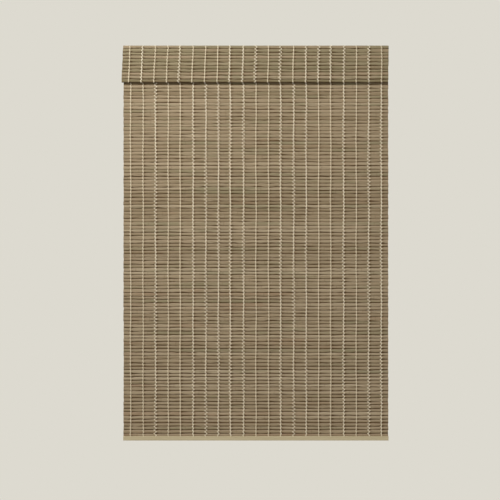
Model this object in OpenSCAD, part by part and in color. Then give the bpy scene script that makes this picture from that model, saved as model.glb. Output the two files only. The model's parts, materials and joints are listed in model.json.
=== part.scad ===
// Woven bamboo roman blind, cordless kind, lowered. The origin is the middle of the four bracket
// screw holes, on the face that meets the window head. +Z is up and the room is on the -Y side.

/* [Mat] */
// Width of the blind over the slat ends
blind_width = 1092; // [960:1:1400]
// Distance from one slat to the next
slat_pitch = 14.5; // [12:0.1:18]
// Open gap between two slats
slat_gap = 1.3; // [0.8:0.1:2.5]
// Thickness of a slat
slat_thickness = 2.4; // [1.6:0.1:4]
// Height of the bevel along a slat's edges
slat_bevel = 2.2; // [1:0.1:4]
// Thickness left at a slat's edges
slat_edge = 1.0; // [0.6:0.1:1.5]
// Number of warp lines across the blind
warp_count = 21; // [17:2:25]
// Distance from the slat ends to the outer warps
warp_margin = 29.5; // [15:0.5:50]
// Width of a warp yarn
warp_width = 2.8; // [1.5:0.1:4]
// Thickness of a warp yarn
warp_thickness = 0.8; // [0.5:0.1:1.2]

/* [Folds] */
// Slats in half a pleat
slats_per_fold = 8; // [6:1:10]
// Slats in the hem below the last fold
hem_slat_count = 4; // [2:1:8]
// Room between two sections at a fold line
fold_clearance = 0.4; // [0.3:0.05:0.8]

/* [Valance] */
// Slats in the valance
valance_slat_count = 11; // [6:1:16]
// Distance from one valance slat to the next
valance_slat_pitch = 13.8; // [12:0.1:18]
// Angle that the last valance slat is tucked under
valance_tuck = 10; // [0:1:14]
// Height of the valance above the headrail's top
valance_rise = 1; // [0:0.1:1.5]
// Thickness of the fastening tape behind the valance
tape_thickness = 1.2; // [0.8:0.1:3]
// Height of the fastening tape
tape_height = 20; // [12:1:25]

/* [Clamp batten] */
// Thickness of the batten that clamps the head of the mat
batten_thickness = 5; // [2:0.1:8]
// Height of the batten
batten_height = 24; // [18:1:28]
// Diameter of the batten's screws
screw_d = 3; // [2:0.1:4]
// Diameter of a screw's countersunk head
screw_head_d = 5.6; // [4.5:0.1:8]
// Length of a screw behind the headrail's wall
screw_tail = 3; // [2:0.5:5]

/* [Headrail] */
// Depth of the headrail, from room to window
rail_depth = 48; // [46:1:60]
// Height of the headrail
rail_height = 32; // [31:0.5:40]
// Thickness of the headrail's sheet
rail_wall = 1.0; // [0.8:0.1:1.5]
// Width of the lips along the headrail's open top
rail_lip = 6; // [5:0.5:8]
// Distance from a slat's end to the headrail's end
rail_inset = 4; // [3.5:0.5:20]
// Thickness of an end cap's flange
cap_flange = 3; // [2:0.5:3.5]
// Depth of an end cap's plug
cap_plug = 12; // [8:1:20]
// Wall of an end cap's plug
cap_wall = 2; // [1.2:0.2:3]

/* [Brackets] */
// Distance between the two brackets
bracket_spacing = 900; // [860:5:920]
// Length of a bracket along the headrail
bracket_length = 36; // [24:1:48]
// Thickness of a bracket's sheet
bracket_sheet = 1.6; // [1.2:0.1:2]
// Diameter of a bracket's screw holes
bracket_hole_d = 5; // [4:0.1:6]
// Distance between a bracket's two screw holes
bracket_hole_spacing = 16; // [12:0.5:18]
// Distance of a bracket's plate inside the headrail's faces
bracket_setback = 2; // [0:0.5:4]
// Room between a bracket's hooks and the headrail's walls
bracket_hook_room = 1; // [0.5:0.1:2]

/* [Lift] */
// Distance between two lift cords
cord_spacing = 258; // [230:1:270]
// Diameter of the lift cord
cord_d = 1.4; // [1:0.1:2]
// Diameter of the lift shaft
shaft_d = 6; // [4:0.5:7]
// Distance of the lift shaft behind the headrail's front
shaft_offset = 19; // [18.8:0.1:20]
// Length of the lift shaft outside the outer cradles
shaft_tail = 5; // [2:0.5:15]
// Diameter that the cord winds on
spool_d = 22; // [18:0.5:22.5]
// Diameter of a spool's flanges
spool_flange_d = 25; // [23:0.5:25.4]
// Length that the cord winds on
spool_length = 30; // [20:1:32]
// Thickness of a spool's flanges
flange_thickness = 1.6; // [1.2:0.1:2.5]
// Diameter of the journals that turn in the bearings
journal_d = 10; // [9:0.5:12]
// Radial clearance of a turning journal or a keyed bore
bearing_clearance = 0.05; // [0.02:0.01:0.1]
// Clearance along the shaft between a flange and a bearing wall
end_float = 0.5; // [0.3:0.1:1]
// Length of a journal outside its bearing wall
journal_tail = 1; // [0.5:0.1:2]
// Thickness of a bearing wall
bearing_wall = 3; // [2:0.5:4]
// Thickness of a bearing's base plate
bearing_base = 1.6; // [1:0.1:1.8]
// Width of material round a journal's bore
bearing_rim = 4; // [3:0.5:5]
// Outer diameter of a cord ring
ring_d = 12; // [10:0.5:13]
// Width of a cord ring's section
ring_section = 2; // [1.5:0.1:2.5]
// Height of a cord ring
ring_height = 2.4; // [1.5:0.1:4]
// Bore of an eyelet
eyelet_bore_d = 4; // [3:0.1:5]
// Wall of an eyelet's barrel
eyelet_wall = 1.2; // [0.8:0.1:1.5]
// Overhang of an eyelet's flanges
eyelet_flange = 1.4; // [1:0.1:1.6]

/* [Spring motor] */
// Distance from the lift shaft to the storage drum
drum_distance = 19.2; // [18.8:0.1:19.6]
// Width of the spring band
spring_width = 36; // [20:1:45]
// Diameter of the output drum under the spring
output_core_d = 13; // [12:0.5:16]
// Outside diameter of the coiled spring
spring_coil_d = 20; // [17:0.5:20.4]
// Diameter of the output drum's flanges
output_flange_d = 21; // [20:0.5:21.4]
// Diameter of the storage drum under the spring
storage_core_d = 11; // [8:0.5:13]
// Diameter of the storage drum's flanges
storage_flange_d = 16; // [13:0.5:16.2]
// Diameter of the storage drum's pins
storage_pin_d = 6; // [4:0.5:7]

/* [Bottom rail] */
// Height of the bottom rail
foot_height = 17.5; // [14:0.5:30]
// Thickness of the bottom rail
foot_thickness = 10; // [8:0.5:16]
// Depth that the last slat goes into the rail's groove
foot_groove = 3; // [2:0.5:5]
// Round along the bottom rail's edges
foot_round = 1.5; // [0.5:0.1:2]
// Clearance between the last slat and the groove
foot_clearance = 0.1; // [0.05:0.05:0.3]

/* [Hidden] */
$fn = 64;
seat_gap = 0.2;
fold_count = 12;
fold_numbers = [1 : fold_count];
ring_row_count = fold_count / 2;
side_names = ["left", "right"];
spool_numbers = [1, 2, 3, 4];
screw_bays = [1.5, 4.5, 9.5];

// Heights, from the window head down
rail_top = -bracket_sheet - seat_gap;
rail_floor = rail_top - rail_height + rail_wall;
valance_top = rail_top + valance_rise;
valance_bottom = valance_top - valance_slat_count * valance_slat_pitch;
mat_top = rail_top - seat_gap;
fixed_slat_count = ceil((mat_top - valance_bottom + slat_pitch / 2) / slat_pitch);
fold_length = slats_per_fold * slat_pitch;
fold_top = mat_top - fixed_slat_count * slat_pitch;
hem_top = fold_top - fold_count * fold_length;
hem_bottom = hem_top - hem_slat_count * slat_pitch + slat_gap / 2;
foot_top = hem_bottom + foot_groove;
screw_z = mat_top - slat_pitch / 2;

// Depths, from the headrail's middle towards the room
mat_half = slat_thickness / 2 + warp_thickness;
mat_y = -rail_depth / 2 - mat_half;
batten_y = mat_y - mat_half - batten_thickness;
tape_y = batten_y - tape_thickness;
valance_y = tape_y - mat_half;

// Places along the blind
rail_length = blind_width - 2 * rail_inset;
warp_pitch = (blind_width - 2 * warp_margin) / (warp_count - 1);
cord_x = [for (k = [-3, -1, 1, 3]) sign(k) * bay_centre(abs(k) * cord_spacing / 2)];
screw_x = [for (b = screw_bays) each [-b * warp_pitch, b * warp_pitch]];

// The lift shaft's line, and where the cords hang
shaft_y = -rail_depth / 2 + shaft_offset;
shaft_z = rail_floor + bearing_base + seat_gap * 2 + spool_flange_d / 2;
cord_y = shaft_y - spool_d / 2 - cord_d / 2;
spool_half = spool_length / 2 + flange_thickness;
cradle_half = spool_half + end_float + bearing_wall;
drum_half = spring_width / 2 + flange_thickness;
motor_half = drum_half + end_float + bearing_wall;
shaft_length = cord_x[3] - cord_x[0] + 2 * (cradle_half + shaft_tail);
storage_y = shaft_y + drum_distance;
eyelet_barrel_d = eyelet_bore_d + 2 * eyelet_wall;
eyelet_flange_d = eyelet_barrel_d + 2 * eyelet_flange;

bamboo = "#93825f";
yarn = "#d2c29c";
steel = "#d8d5cc";
zinc = "#a9adb0";
nylon = "#e4e0d4";
spring_steel = "#6f7680";
pale_wood = "#b3a582";

// Name of half a pleat's node, such as fold_03_slats
function fold_name(i, what) = str("fold_", i < 10 ? "0" : "", i, "_", what);

// Middle of the space between two warps that x falls in
function bay_centre(x) = (floor(x / warp_pitch) + 0.5) * warp_pitch;

// Top of half a pleat
function fold_z(i) = fold_top - (i - 1) * fold_length;

// Draws a profile of (depth, height) along the blind, centred on x = 0
module along(length) {
    translate([-length / 2, 0, 0])
        rotate([90, 0, 90])
            linear_extrude(length)
                children();
}

// Section of a flat slat with bevelled edges, centred on the origin
module slat_section(height) {
    face = slat_thickness / 2;
    shoulder = height / 2 - slat_bevel;
    polygon([
        [-face, -shoulder], [-face, shoulder],
        [-slat_edge / 2, height / 2], [slat_edge / 2, height / 2],
        [face, shoulder], [face, -shoulder],
        [slat_edge / 2, -height / 2], [-slat_edge / 2, -height / 2]
    ]);
}

// Slats hanging from height z at depth y, one below the other
module slats(y, z, count, pitch) {
    for (i = [0 : count - 1])
        translate([0, y, z - (i + 0.5) * pitch])
            along(blind_width)
                slat_section(pitch - slat_gap);
}

// Warp yarns on both faces of a mat, from height z down over a length
module warps(y, z, length) {
    for (k = [0 : warp_count - 1], face = [-1, 1])
        translate([
            -blind_width / 2 + warp_margin + k * warp_pitch - warp_width / 2,
            y + face * (mat_half - warp_thickness / 2) - warp_thickness / 2,
            z - length
        ])
            cube([warp_width, warp_thickness, length]);
}

// Part of half a pleat's height that its yarns take, clear of the fold lines
module fold_warps_at(z, slat_count) {
    warps(mat_y, z - fold_clearance / 2, slat_count * slat_pitch - fold_clearance);
}

// Turned piece on the lift shaft's direction, from a profile of (radius, place along the shaft)
module turned(y, points) {
    translate([0, y, shaft_z])
        rotate([0, 90, 0])
            rotate_extrude()
                polygon(points);
}

// Profile of a drum with two flanges and two journals, half above and half below its middle
function drum_profile(bore_r, core_r, flange_r, half, journal_r, journal_end) = [
    [bore_r, -journal_end], [journal_r, -journal_end],
    [journal_r, -half], [flange_r, -half],
    [flange_r, -half + flange_thickness], [core_r, -half + flange_thickness],
    [core_r, half - flange_thickness], [flange_r, half - flange_thickness],
    [flange_r, half], [journal_r, half],
    [journal_r, journal_end], [bore_r, journal_end]
];

// Outline of a bearing wall that stands on the headrail's floor round a bore at depth y
module bearing_outline(y, bore_r) {
    rim_r = bore_r + bearing_rim;
    translate([y, shaft_z])
        circle(rim_r);
    translate([y - rim_r, rail_floor])
        square([2 * rim_r, shaft_z - rail_floor]);
}

// Round bore along the shaft at depth y
module bearing_bore(y, bore_r) {
    translate([y, shaft_z])
        circle(bore_r);
}

module headrail_section() {
    outer = rail_depth / 2;
    inner = outer - rail_wall;
    lip = outer - rail_lip;
    under_lip = rail_top - rail_wall;
    bottom = rail_top - rail_height;
    polygon([
        [-lip, rail_top], [-outer, rail_top], [-outer, bottom],
        [outer, bottom], [outer, rail_top], [lip, rail_top],
        [lip, under_lip], [inner, under_lip], [inner, rail_floor],
        [-inner, rail_floor], [-inner, under_lip], [-lip, under_lip]
    ]);
}

module headrail() {
    color(steel)
        difference() {
            along(rail_length)
                headrail_section();
            for (x = cord_x)
                translate([x, cord_y, rail_floor - 2 * rail_wall])
                    cylinder(d = eyelet_barrel_d + 2 * bearing_clearance, h = 3 * rail_wall);
            for (x = screw_x)
                translate([x, -rail_depth / 2 + 2 * rail_wall, screw_z])
                    rotate([90, 0, 0])
                        cylinder(d = screw_d + 2 * bearing_clearance, h = 3 * rail_wall);
        }
}

// Plug and flange in one end of the headrail, for the right-hand end
module headrail_end_cap() {
    plug_depth = rail_depth - 2 * rail_wall - 2 * seat_gap;
    plug_height = rail_height - 2 * rail_wall - seat_gap;
    color(nylon) {
        difference() {
            translate([rail_length / 2 - cap_plug, -plug_depth / 2, rail_floor])
                cube([cap_plug, plug_depth, plug_height]);
            translate([
                rail_length / 2 - 2 * cap_plug, -plug_depth / 2 + cap_wall, rail_floor + cap_wall
            ])
                cube([2 * cap_plug, plug_depth - 2 * cap_wall, plug_height - 2 * cap_wall]);
        }
        translate([rail_length / 2, -rail_depth / 2, rail_top - rail_height])
            cube([cap_flange, rail_depth, rail_height]);
    }
}

// Sheet bracket: a plate over the headrail, and two hooked legs that the headrail's lips rest on
module mounting_bracket() {
    plate = rail_depth / 2 - bracket_setback;
    lip = rail_depth / 2 - rail_lip;
    leg = lip - bracket_sheet;
    hook = rail_depth / 2 - rail_wall - bracket_hook_room;
    under_plate = -bracket_sheet;
    hook_top = rail_top - rail_wall;
    hook_bottom = hook_top - bracket_sheet;
    color(zinc)
        difference() {
            along(bracket_length)
                polygon([
                    [-plate, 0], [plate, 0], [plate, under_plate], [leg, under_plate],
                    [leg, hook_top], [hook, hook_top], [hook, hook_bottom],
                    [leg - bracket_sheet, hook_bottom], [leg - bracket_sheet, under_plate],
                    [bracket_sheet - leg, under_plate], [bracket_sheet - leg, hook_bottom],
                    [-hook, hook_bottom], [-hook, hook_top], [-leg, hook_top],
                    [-leg, under_plate], [-plate, under_plate]
                ]);
            for (side = [-1, 1])
                translate([0, side * bracket_hole_spacing / 2, -2 * bracket_sheet])
                    cylinder(d = bracket_hole_d, h = 3 * bracket_sheet);
        }
}

// Two bearing walls on a base plate, with a hole over the eyelet
module spool_cradle() {
    bore_r = journal_d / 2 + bearing_clearance;
    base_front = rail_depth / 2 - rail_wall - seat_gap;
    base_back = shaft_y + bore_r + bearing_rim;
    color(nylon) {
        for (side = [-1, 1])
            translate([side * (cradle_half - bearing_wall / 2), 0, 0])
                along(bearing_wall)
                    difference() {
                        bearing_outline(shaft_y, bore_r);
                        bearing_bore(shaft_y, bore_r);
                    }
        difference() {
            translate([-cradle_half, -base_front, rail_floor])
                cube([2 * cradle_half, base_front + base_back, bearing_base]);
            translate([0, cord_y, rail_floor - bearing_base])
                cylinder(d = eyelet_flange_d + 2 * seat_gap, h = 3 * bearing_base);
        }
    }
}

// Bushes with a flange above and below the headrail's floor
module cord_eyelets() {
    bore_r = eyelet_bore_d / 2;
    barrel_r = eyelet_barrel_d / 2;
    flange_r = eyelet_flange_d / 2;
    above = rail_floor + rail_wall;
    below = rail_floor - rail_wall;
    color(zinc)
        for (x = cord_x)
            translate([x, cord_y, 0])
                rotate_extrude()
                    polygon([
                        [bore_r, below - rail_wall], [flange_r, below - rail_wall],
                        [flange_r, below], [barrel_r, below], [barrel_r, rail_floor],
                        [flange_r, rail_floor], [flange_r, above], [bore_r, above]
                    ]);
}

// Base plate and two walls with bearings for the lift shaft and for the storage drum
module motor_housing() {
    shaft_bore_r = journal_d / 2 + bearing_clearance;
    pin_bore_r = storage_pin_d / 2 + bearing_clearance;
    base_depth = rail_depth - 2 * rail_wall - 2 * seat_gap;
    color(nylon) {
        for (side = [-1, 1])
            translate([side * (motor_half - bearing_wall / 2), 0, 0])
                along(bearing_wall)
                    difference() {
                        union() {
                            bearing_outline(shaft_y, shaft_bore_r);
                            bearing_outline(storage_y, pin_bore_r);
                            translate([shaft_y, rail_floor])
                                square([drum_distance, shaft_z - rail_floor]);
                        }
                        bearing_bore(shaft_y, shaft_bore_r);
                        bearing_bore(storage_y, pin_bore_r);
                    }
        translate([-motor_half, -base_depth / 2, rail_floor])
            cube([2 * motor_half, base_depth, bearing_base]);
    }
}

module clamp_batten() {
    sink = (screw_head_d - screw_d) / 2;
    color(pale_wood)
        difference() {
            translate([-blind_width / 2, batten_y, mat_top - batten_height])
                cube([blind_width, batten_thickness, batten_height]);
            for (x = screw_x)
                translate([x, batten_y, screw_z])
                    rotate([-90, 0, 0])
                        screw_shape(sink, 2 * batten_thickness, bearing_clearance);
        }
}

// Countersunk screw pointing along +Z, with its head's face at z = 0
module screw_shape(sink, length, room) {
    cylinder(r1 = screw_head_d / 2 + room, r2 = screw_d / 2 + room, h = sink);
    cylinder(r = screw_d / 2 + room, h = length);
}

module clamp_screws() {
    sink = (screw_head_d - screw_d) / 2;
    color(zinc)
        for (x = screw_x)
            translate([x, batten_y, screw_z])
                rotate([-90, 0, 0])
                    screw_shape(sink, batten_thickness + 2 * mat_half + rail_wall + screw_tail, 0);
}

module valance_tape() {
    color("#3f3a31")
        translate([-blind_width / 2, tape_y, mat_top - tape_height])
            cube([blind_width, tape_thickness, tape_height]);
}

// The last slat is tucked under, towards the shade
module valance_slats() {
    straight = valance_slat_count - 1;
    hinge_z = valance_top - straight * valance_slat_pitch;
    color(bamboo) {
        slats(valance_y, valance_top, straight, valance_slat_pitch);
        translate([0, valance_y, hinge_z])
            rotate([valance_tuck, 0, 0])
                slats(0, 0, 1, valance_slat_pitch);
    }
}

module valance_warps() {
    color(yarn)
        warps(valance_y, valance_top, (valance_slat_count - 1) * valance_slat_pitch);
}

// Fixed head of the shade, with its first slat drilled for the batten's screws
module head_slats() {
    color(bamboo)
        difference() {
            slats(mat_y, mat_top, fixed_slat_count, slat_pitch);
            for (x = screw_x)
                translate([x, mat_y - slat_thickness, screw_z])
                    rotate([-90, 0, 0])
                        cylinder(d = screw_d + 2 * bearing_clearance, h = 2 * slat_thickness);
        }
}

module head_warps() {
    color(yarn)
        fold_warps_at(mat_top, fixed_slat_count);
}

module lift_shaft() {
    color(zinc)
        translate([0, shaft_y, shaft_z])
            rotate([0, 90, 0])
                cylinder(d = shaft_d, h = shaft_length, center = true);
}

// Flanged spool with a keyed bore and a journal at each end
module cord_spool() {
    color(nylon)
        turned(shaft_y, drum_profile(
            shaft_d / 2 + bearing_clearance, spool_d / 2, spool_flange_d / 2,
            spool_half, journal_d / 2, cradle_half + journal_tail
        ));
}

module output_drum() {
    color(nylon)
        turned(shaft_y, drum_profile(
            shaft_d / 2 + bearing_clearance, output_core_d / 2, output_flange_d / 2,
            drum_half, journal_d / 2, motor_half + journal_tail
        ));
}

// Turns of the spring band on the output drum, as they lie with the blind lowered
module motor_spring() {
    inner_r = output_core_d / 2 + bearing_clearance;
    outer_r = spring_coil_d / 2;
    half = spring_width / 2 - seat_gap;
    color(spring_steel)
        turned(shaft_y, [[inner_r, -half], [outer_r, -half], [outer_r, half], [inner_r, half]]);
}

module storage_drum() {
    color(nylon)
        turned(storage_y, drum_profile(
            0, storage_core_d / 2, storage_flange_d / 2,
            drum_half, storage_pin_d / 2, motor_half + journal_tail
        ));
}

module fold_slats(i) {
    color(bamboo)
        slats(mat_y, fold_z(i), slats_per_fold, slat_pitch);
}

module fold_warps(i) {
    color(yarn)
        fold_warps_at(fold_z(i), slats_per_fold);
}

// Rings on the back of the last slat above a back fold, in line with the eyelets
module cord_rings(row) {
    ring_r = ring_d / 2;
    slat_back = mat_y + slat_thickness / 2;
    foot_width = 2 * ring_section;
    z = fold_z(2 * row + 1) + slat_pitch / 2 - ring_height / 2;
    color(nylon)
        for (x = cord_x)
            translate([x, cord_y, z])
                linear_extrude(ring_height)
                    difference() {
                        union() {
                            circle(ring_r);
                            translate([-foot_width / 2, slat_back - cord_y])
                                square([foot_width, cord_y - slat_back]);
                        }
                        circle(ring_r - ring_section);
                    }
}

module hem_slats() {
    color(bamboo)
        slats(mat_y, hem_top, hem_slat_count, slat_pitch);
}

// The yarns stop at the bottom rail's top
module hem_warps() {
    top = hem_top - fold_clearance / 2;
    color(yarn)
        warps(mat_y, top, top - foot_top - seat_gap);
}

// Wooden bar with rounded edges and a groove for the last slat
module bottom_rail() {
    half = foot_thickness / 2;
    bottom = foot_top - foot_height;
    groove = slat_thickness + 2 * foot_clearance;
    color(pale_wood)
        translate([0, mat_y, 0])
            along(blind_width)
                difference() {
                    union() {
                        for (side = [-1, 1], z = [bottom + foot_round, foot_top - foot_round])
                            translate([side * (half - foot_round), z])
                                circle(foot_round);
                        translate([-half, bottom + foot_round])
                            square([foot_thickness, foot_height - 2 * foot_round]);
                        translate([-half + foot_round, bottom])
                            square([foot_thickness - 2 * foot_round, foot_height]);
                    }
                    translate([-groove / 2, foot_top - foot_groove])
                        square([groove, 2 * foot_groove]);
                }
}

headrail();
mirror([1, 0, 0]) headrail_end_cap();  // headrail_end_cap_left
headrail_end_cap();  // headrail_end_cap_right
translate([-bracket_spacing / 2, 0, 0]) mounting_bracket();  // mounting_bracket_left
translate([bracket_spacing / 2, 0, 0]) mounting_bracket();  // mounting_bracket_right
for (i = spool_numbers) {
    translate([cord_x[i - 1], 0, 0]) spool_cradle();
    translate([cord_x[i - 1], 0, 0]) cord_spool();
}
cord_eyelets();
motor_housing();
clamp_batten();
clamp_screws();
valance_tape();
valance_slats();
valance_warps();
head_slats();
head_warps();
lift_shaft();
output_drum();
motor_spring();
storage_drum();
for (i = fold_numbers) {
    fold_slats(i);
    fold_warps(i);
}
for (row = [1 : ring_row_count])
    cord_rings(row);
hem_slats();
hem_warps();
bottom_rail();
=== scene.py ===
"""Looks of a woven bamboo roman blind: slats, twisted yarns, bottom rail, headrail and lift gear."""

import json
import logging
import math
from dataclasses import dataclass, field
from enum import Enum

import bpy
import numpy as np
from bpy.types import ColorRamp, Material, Node, NodeSocket, Object, World
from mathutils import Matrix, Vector

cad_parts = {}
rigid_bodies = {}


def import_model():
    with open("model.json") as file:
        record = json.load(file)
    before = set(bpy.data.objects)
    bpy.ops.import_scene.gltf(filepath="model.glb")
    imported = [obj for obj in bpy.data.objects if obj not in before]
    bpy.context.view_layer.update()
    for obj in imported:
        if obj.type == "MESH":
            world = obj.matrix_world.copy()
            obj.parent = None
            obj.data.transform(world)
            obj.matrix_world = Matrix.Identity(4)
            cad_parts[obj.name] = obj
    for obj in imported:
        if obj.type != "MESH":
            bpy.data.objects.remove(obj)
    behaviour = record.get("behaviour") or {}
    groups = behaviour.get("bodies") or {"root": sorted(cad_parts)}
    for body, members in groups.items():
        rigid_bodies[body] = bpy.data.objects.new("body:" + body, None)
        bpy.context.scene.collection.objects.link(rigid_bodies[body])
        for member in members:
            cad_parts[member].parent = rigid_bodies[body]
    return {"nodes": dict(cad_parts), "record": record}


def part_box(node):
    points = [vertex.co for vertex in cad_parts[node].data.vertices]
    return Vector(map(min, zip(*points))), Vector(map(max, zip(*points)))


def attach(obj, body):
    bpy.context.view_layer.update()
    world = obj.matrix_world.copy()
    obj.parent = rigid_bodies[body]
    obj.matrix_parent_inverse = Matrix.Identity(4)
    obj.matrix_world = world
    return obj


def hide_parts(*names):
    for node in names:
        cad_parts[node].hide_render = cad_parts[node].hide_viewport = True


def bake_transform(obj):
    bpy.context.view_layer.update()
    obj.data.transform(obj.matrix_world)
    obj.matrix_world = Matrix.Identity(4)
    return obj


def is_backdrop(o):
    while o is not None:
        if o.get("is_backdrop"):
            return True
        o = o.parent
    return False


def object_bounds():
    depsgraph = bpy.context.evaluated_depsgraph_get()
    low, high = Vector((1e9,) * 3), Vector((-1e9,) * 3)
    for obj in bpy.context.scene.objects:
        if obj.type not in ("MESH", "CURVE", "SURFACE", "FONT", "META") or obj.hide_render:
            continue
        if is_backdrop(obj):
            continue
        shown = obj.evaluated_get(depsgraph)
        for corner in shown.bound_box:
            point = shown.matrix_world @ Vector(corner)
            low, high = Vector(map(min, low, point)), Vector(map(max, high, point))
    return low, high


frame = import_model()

log = logging.getLogger("blind")

MM = 0.001
TINY = 1e-6
SHARP_ANGLE = math.radians(55)
SHADE_SEED = 41
VALANCE_SEED = 42
VALANCE_SLAT_SEED = 43
FIRST_SECTION_SEED = 51
SHADE_SECTIONS = ["head"] + [f"fold_{i:02d}" for i in range(1, 13)] + ["hem"]
HEADRAIL_BODY = "headrail"


class Lay(Enum):
    """Way that a pair of yarns lies over the slats: beaded, aside on each slat, or twined, leaning the same way."""

    BEADED = 0
    TWINED = 1


def linear(red: int, green: int, blue: int) -> tuple[float, float, float, float]:
    """Linear colour of an 8 bit display colour, by the sRGB curve: a straight foot, then a power.

    Args:
        red: amount of red, from 0 to 255.
        green: amount of green, likewise.
        blue: amount of blue, likewise.

    Returns:
        The colour, fully opaque.
    """
    shares = np.array([red, green, blue]) / 255
    return (*np.where(shares <= 0.04045, shares / 12.92, ((shares + 0.055) / 1.055) ** 2.4).tolist(), 1.0)


@dataclass(frozen=True)
class Grain:
    """Fineness of a noise: its waves in one unit of each input, and its number of finer layers."""

    x: float
    y: float
    z: float
    layers: float = 3.0


class Term:
    """A number in a shader: wraps an output socket, and its operators add Math nodes."""

    def __init__(self, graph: "Nodes", socket: NodeSocket) -> None:
        """Keeps the graph that new nodes go to and the socket that holds the number."""
        self.graph = graph
        self.socket = socket

    def math(self, operation: str, *others: "Term | float") -> "Term":
        """Result of one Math node on this number and others.

        Args:
            operation: the Math node's operation.
            others: further numbers, in the node's order.

        Returns:
            The node's result.
        """
        node = self.graph.node("ShaderNodeMath", {"operation": operation}, dict(enumerate((self, *others))))
        return Term(self.graph, node.outputs[0])

    def __add__(self, other: "Term | float") -> "Term":
        """Sum."""
        return self.math("ADD", other)

    __radd__ = __add__

    def __mul__(self, other: "Term | float") -> "Term":
        """Product."""
        return self.math("MULTIPLY", other)

    __rmul__ = __mul__

    def __sub__(self, other: "Term | float") -> "Term":
        """Difference."""
        return self.math("SUBTRACT", other)

    def __rsub__(self, other: float) -> "Term":
        """Difference from a plain number."""
        return self * -1.0 + other

    def __pow__(self, other: "Term | float") -> "Term":
        """Power."""
        return self.math("POWER", other)

    def clamp(self) -> "Term":
        """The number held between 0 and 1."""
        return self.math("MINIMUM", 1.0).math("MAXIMUM", 0.0)

    def past(self, limit: float, slope: float, share: float = 1.0) -> "Term":
        """How far the number is past a limit, times a slope, held between 0 and 1, and then times a share."""
        return ((self - limit) * slope).clamp() * share

    def wave(self, operation: str = "SINE") -> "Term":
        """Sine or cosine of the number, brought to between 0 and 1."""
        return self.math(operation) * 0.5 + 0.5


class Nodes:
    """A node tree, emptied, whose nodes are all added by one method."""

    def __init__(self, owner: "Material | World") -> None:
        """Empties the owner's tree.

        Args:
            owner: the material or world that the tree belongs to.
        """
        owner.use_nodes = True
        self.tree = owner.node_tree
        self.tree.nodes.clear()

    def node(self, kind: str, settings: dict | None = None, inputs: dict | None = None) -> Node:
        """Adds one node.

        Args:
            kind: the node's type name.
            settings: properties that are set first; "stops" fills a colour ramp.
            inputs: value, socket or Term by input name or number.

        Returns:
            The new node.
        """
        node = self.tree.nodes.new(kind)
        for key, value in (settings or {}).items():
            if key == "stops":
                self._fill_ramp(node.color_ramp, value)
            else:
                setattr(node, key, value)
        for key, value in (inputs or {}).items():
            self.feed(node.inputs[key], value)
        return node

    @staticmethod
    def _fill_ramp(ramp: ColorRamp, stops: list[tuple[float, tuple]]) -> None:
        """Sets a ramp's stops.

        Args:
            ramp: the colour ramp.
            stops: pairs of place and colour, in rising order.
        """
        while len(ramp.elements) < len(stops):
            ramp.elements.new(1.0)
        for element, (place, colour) in zip(ramp.elements, stops):
            element.position = place
            element.color = colour

    def feed(self, socket: NodeSocket, value: object) -> None:
        """Gives an input its value.

        Args:
            socket: the input.
            value: a Term or socket to link to it, or a plain value to set.
        """
        source = value.socket if isinstance(value, Term) else value
        if isinstance(source, NodeSocket):
            self.tree.links.new(source, socket)
        else:
            socket.default_value = source

    def seen(self) -> Term:
        """Tells rays that are seen from rays that only light.

        Returns:
            1 for a ray from the camera, a reflection or a clear body, and 0 for any other.
        """
        path = self.node("ShaderNodeLightPath")
        rays = [Term(self, path.outputs[f"Is {kind} Ray"]) for kind in ("Camera", "Glossy", "Transmission")]
        return rays[0].math("MAXIMUM", rays[1]).math("MAXIMUM", rays[2])


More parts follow.
